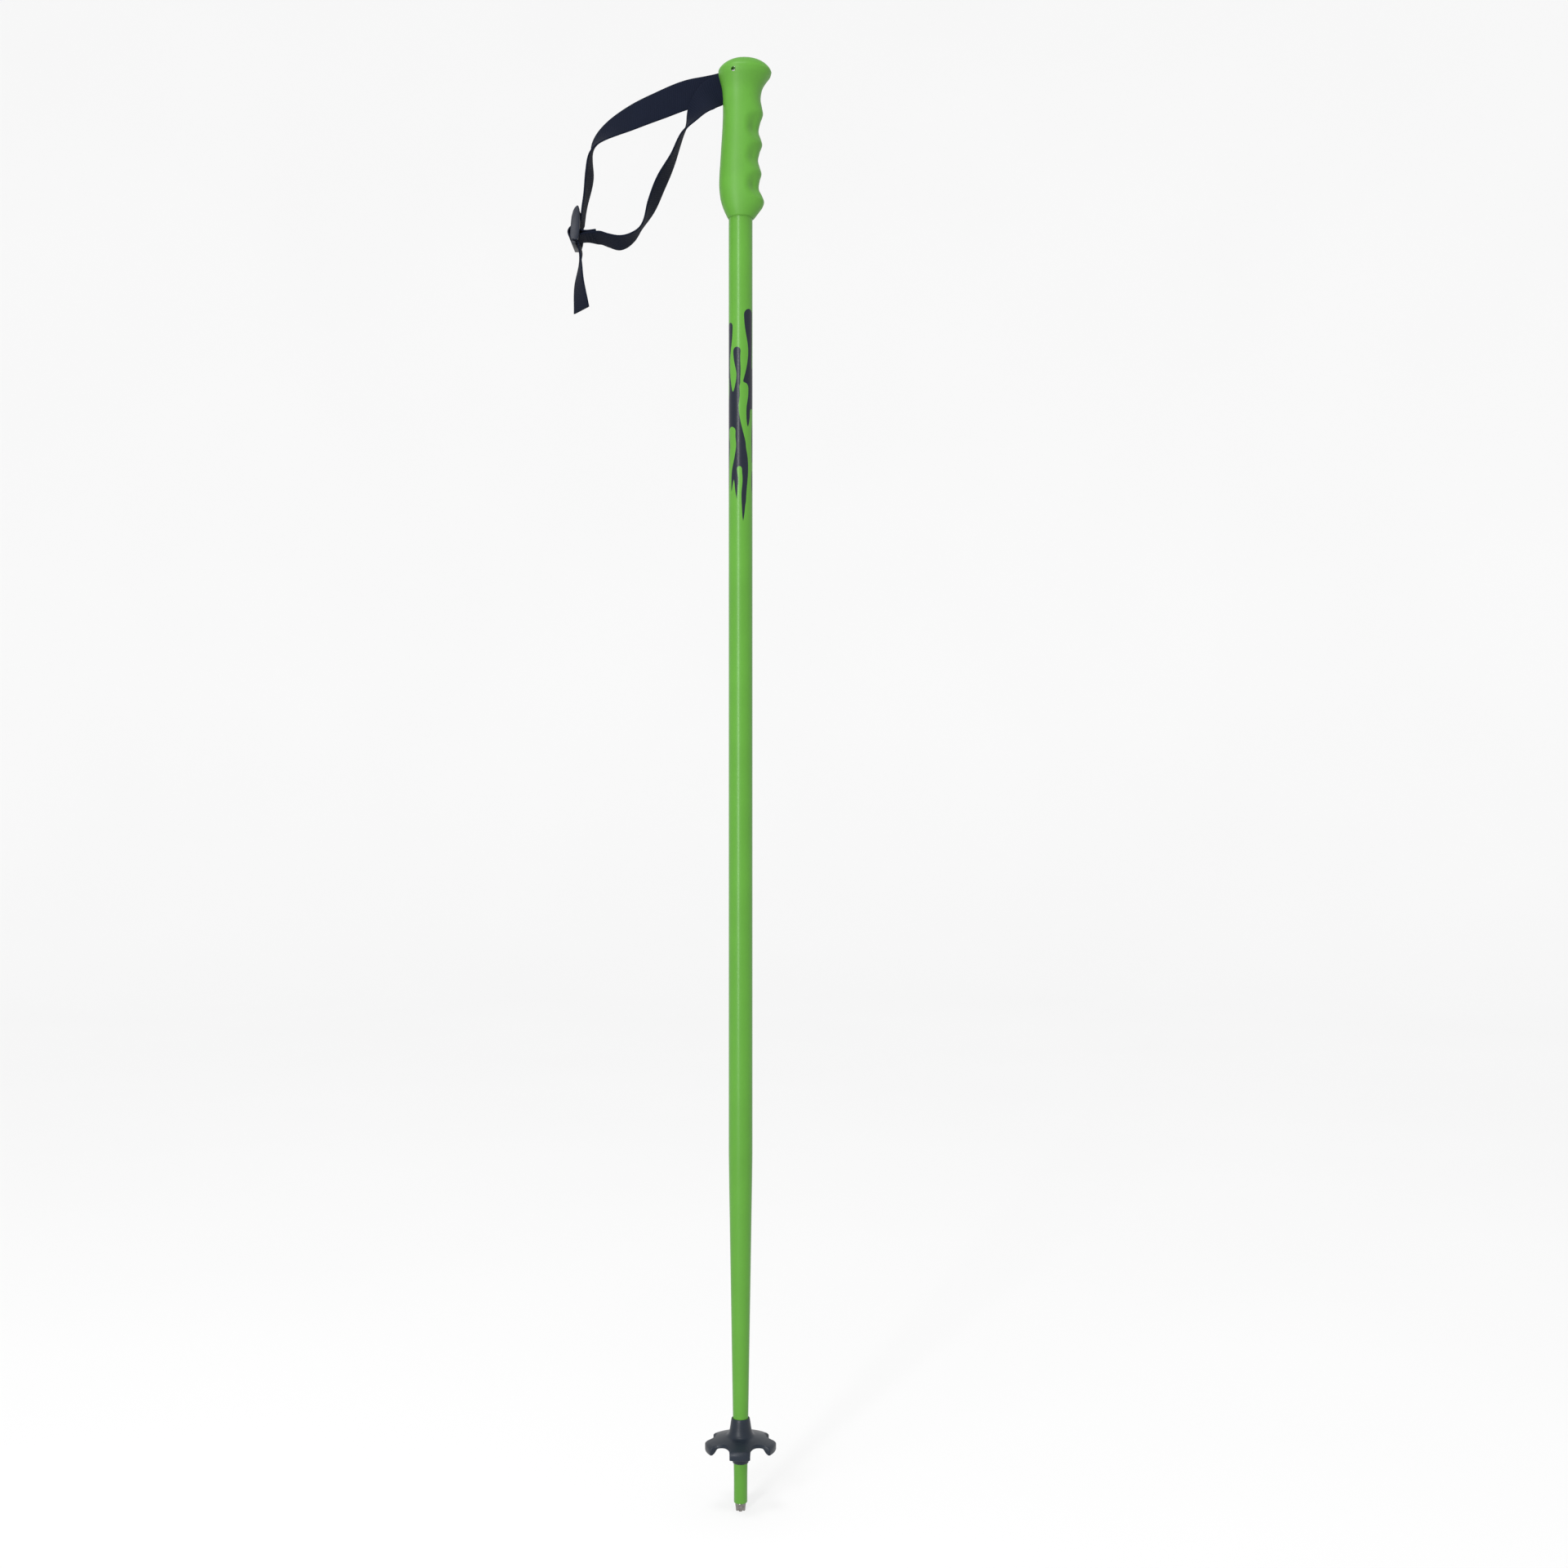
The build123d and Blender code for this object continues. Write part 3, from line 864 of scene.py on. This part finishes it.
def make_hem_stitching():
    """Bar tack through the doubled hem: close zigzag rows on each face."""
    vertices, faces = [], []
    c, s = math.cos(HEM_SLOPE), math.sin(HEM_SLOPE)
    for side in (-1, 1):
        normal = (-s * side, 0, c * side)
        height = side * (WEBBING_THICKNESS + THREAD_RADIUS / 2)
        for row, distance in enumerate(STITCH_ROWS):
            for column in range(STITCHES_PER_ROW):
                across = STITCHED_HALF_WIDTH * (2 * column / (STITCHES_PER_ROW - 1) - 1)
                shift = 0.5 if (column + row) % 2 else -0.5
                first = on_hem(distance - shift, height, across - 0.4)
                second = on_hem(distance + shift, height, across + 0.4)
                rings = stitch(first, second, THREAD_RADIUS, normal)
                offset = len(vertices)
                vertices += rings.reshape(-1, 3).tolist()
                local = ring_faces(rings.shape[0], rings.shape[1])
                faces += [tuple(offset + i for i in face) for face in local]
    thread = make_mesh("strap_hem_thread", vertices, faces)
    material = moulded("thread_navy", THREAD_NAVY, (0.5, 0.7), 4000, 0.05, 0.2, 0.1)
    thread.data.materials.append(material)
    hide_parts("strap_hem_stitching")
    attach(thread, "strap_loop")


# ---------------------------------------------------------------- buckle

def rod(name, x, z, radius, half_length):
    """Round rod across the strap's plane."""
    points = 32
    angle = np.linspace(0, FULL_TURN, points, endpoint=False)
    rings = []
    for y in (-half_length, half_length):
        ring = [x + radius * np.cos(angle), np.full(points, y), z + radius * np.sin(angle)]
        rings.append(np.stack(ring, 1))
    return skin(name, rings)


def make_buckle():
    """Three-bar slider: two side rails, a ribbed thumb tab, the middle bar and the lower bar."""
    rail = [
        (-122.4, 984.7), (-124.2, 982.9), (-125.4, 980.6), (-126.6, 976.0), (-127.0, 972.5), (-127.4, 967.5),
        (-127.7, 962.7), (-127.4, 960.6), (-126.5, 959.2), (-123.2, 958.9), (-121.9, 959.5), (-121.0, 962.5),
        (-120.6, 966.2), (-120.5, 972), (-120.5, 979.1), (-120.8, 982.4), (-121.4, 984.3),
    ]
    tab = [
        (-122.6, 983.8), (-124.4, 981.6), (-126.2, 976.2), (-125.9, 974.9), (-123.4, 974.8),
        (-122.0, 976.2), (-121.25, 978.4), (-121.0, 981.6), (-121.5, 983.6),
    ]
    lower_bar = [
        (-125.4, 960.4), (-127.1, 960.2), (-127.3, 957.8), (-126.8, 956.8), (-123.9, 956.8),
        (-123.3, 957.4), (-124.4, 959.6),
    ]
    pieces = []
    for side in (-1, 1):
        middle = side * RAIL_MIDDLE_Y
        pieces.append(prism("rail", rail, middle - RAIL_HALF_WIDTH, middle + RAIL_HALF_WIDTH))
    pieces.append(prism("tab", tab, -BAR_HALF_LENGTH, BAR_HALF_LENGTH))
    for rib in range(3):
        place = (-125.9 + 0.57 * rib, 976.9 + 1.7 * rib)
        pieces.append(rod("rib", *place, THUMB_RIB_RADIUS, THUMB_RIB_HALF_LENGTH))
    pieces.append(rod("middle_bar", BAR_X, BAR_Z, BAR_RADIUS, BAR_HALF_LENGTH))
    pieces.append(prism("lower_bar", lower_bar, -BAR_HALF_LENGTH, BAR_HALF_LENGTH))
    for piece in pieces:
        add_bevel(piece, 0.55, 3, 40)
        apply_modifiers(piece)
    buckle = join("strap_slider", pieces)
    buckle.data.materials.append(moulded("buckle_navy", NAVY, (0.36, 0.5), 1500, 0.04, 0.2, 0.25))
    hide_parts("strap_buckle")
    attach(buckle, "buckle")


# ---------------------------------------------------------------- basket

def basket_reach(angle):
    """Outer radius of the basket at each angle, and how much of a lobe each angle is."""
    turn = FULL_TURN / BASKET_LOBES
    off = (angle - FIRST_LOBE) % turn
    off = np.minimum(off, turn - off)
    from_scallop = turn / 2 - off
    centre = SCALLOP_DEPTH_RADIUS + SCALLOP_RADIUS
    chord = SCALLOP_RADIUS ** 2 - (centre * np.sin(from_scallop)) ** 2
    scallop = centre * np.cos(from_scallop) - np.sqrt(np.maximum(chord, 0))
    scallop = np.where(chord > 0, scallop, 60)
    blend = 0.9
    reach = -blend * np.log(np.exp(-BASKET_RADIUS / blend) + np.exp(-scallop / blend))
    lobe = soft_step(22.5, 26.2, np.minimum(scallop, BASKET_RADIUS))
    return reach, lobe


def plate_top(radius):
    """Height of the basket's domed plate."""
    return 56.7 - 4.6 * ((radius - PLATE_ROOT) / (BASKET_RADIUS - PLATE_ROOT)) ** 1.15


def make_basket():
    """Collars, plate and turned-down rim as one skin, from the top collar out, under and back up."""
    points = 360
    angle = np.linspace(0, FULL_TURN, points, endpoint=False)
    reach, lobe = basket_reach(angle)
    rings = []

    def add(radius, z):
        radius = np.broadcast_to(np.asarray(radius, float), angle.shape)
        z = np.broadcast_to(np.asarray(z, float), angle.shape)
        rings.append(np.stack([radius * np.cos(angle), radius * np.sin(angle), z], 1))

    for radius, drop in ((6.0, 0.5), (6.25, 0.05), (6.6, 0), (6.95, 0.4)):
        add(radius, BASKET_TOP_Z - drop)
    for radius, z in ((7.25, 68), (7.7, 65), (8.15, 62), (8.7, 59.6), (9.4, 58.0), (10.6, 56.9)):
        add(radius, z)
    for share in np.linspace(0.06, 0.9, 12):
        radius = PLATE_ROOT + (reach - PLATE_ROOT) * share
        add(radius, plate_top(radius))
    shoulder = plate_top(reach)
    for inset, drop in ((0.9, 0.15), (0.35, 0.55), (0.06, 1.2)):
        add(reach - inset, shoulder - drop)
    foot = shoulder - 2.4 - 3.4 * lobe
    add(reach, shoulder - 1.6 - 1.2 * lobe)
    add(reach - 0.03, foot + 0.5)
    add(reach - 0.35, foot + 0.05)
    add(reach - 0.8, foot)
    add(reach - 1.3, foot + 0.15)
    add(reach - 1.6, foot + 0.6)
    inner = reach - 1.9
    ceiling = shoulder - 2.1
    add(inner, np.minimum(foot + 1.2 + 2.0 * lobe, ceiling))
    add(inner - 0.6, ceiling + 0.1)
    for share in (0.75, 0.5, 0.25, 0.08):
        radius = 9.5 + (inner - 9.5) * share
        add(radius, 54.3 - 4.3 * ((radius - 9.5) / 16) ** 1.15)
    for radius, z in ((8.6, 53.4), (8.1, 51.6), (7.7, 48), (7.2, 44), (6.6, 40), (6.25, 37.2), (6.0, 36.2)):
        add(radius, z)
    add(5.75, BASKET_BOTTOM_Z)
    add(5.42, BASKET_BOTTOM_Z + 0.2)
    add(5.4, BASKET_BOTTOM_Z + 0.8)
    rings = np.array(rings)
    faces = loop_faces(len(rings), points)
    basket = make_mesh("snow_basket", rings.reshape(-1, 3), faces, 50)
    basket.data.materials.append(moulded("basket_navy", BASKET_NAVY, (0.34, 0.46), 1300, 0.05, 0.2, 0.3))
    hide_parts("basket")
    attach(basket, "basket")


# ---------------------------------------------------------------- carried-over pieces

def paint(node, material):
    """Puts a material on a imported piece, which keeps its shape."""
    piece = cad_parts[node]
    piece.data.materials.clear()
    piece.data.materials.append(material)


def finish_hardware():
    """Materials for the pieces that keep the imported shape: the tip, the pin, the plug and the bush."""
    tip_marks = (90, 90, 4200)
    paint("tip_crown", steel_material("tip_steel_bright", TIP_STEEL, (0.17, 0.28), tip_marks))
    pin_marks = (1500, 60, 1500)
    paint("strap_pin", steel_material("pin_steel_bright", PIN_STEEL, (0.12, 0.25), pin_marks))
    dark = moulded("plug_dark", PLUG_DARK, (0.45, 0.6), 1500, 0.05, 0.15)
    paint("shaft_top_plug", dark)
    paint("tip_bush", dark)


add_camera()
add_lights()
add_stage()
make_shaft()
make_grip()
make_strap()
make_hem_stitching()
make_buckle()
make_basket()
finish_hardware()
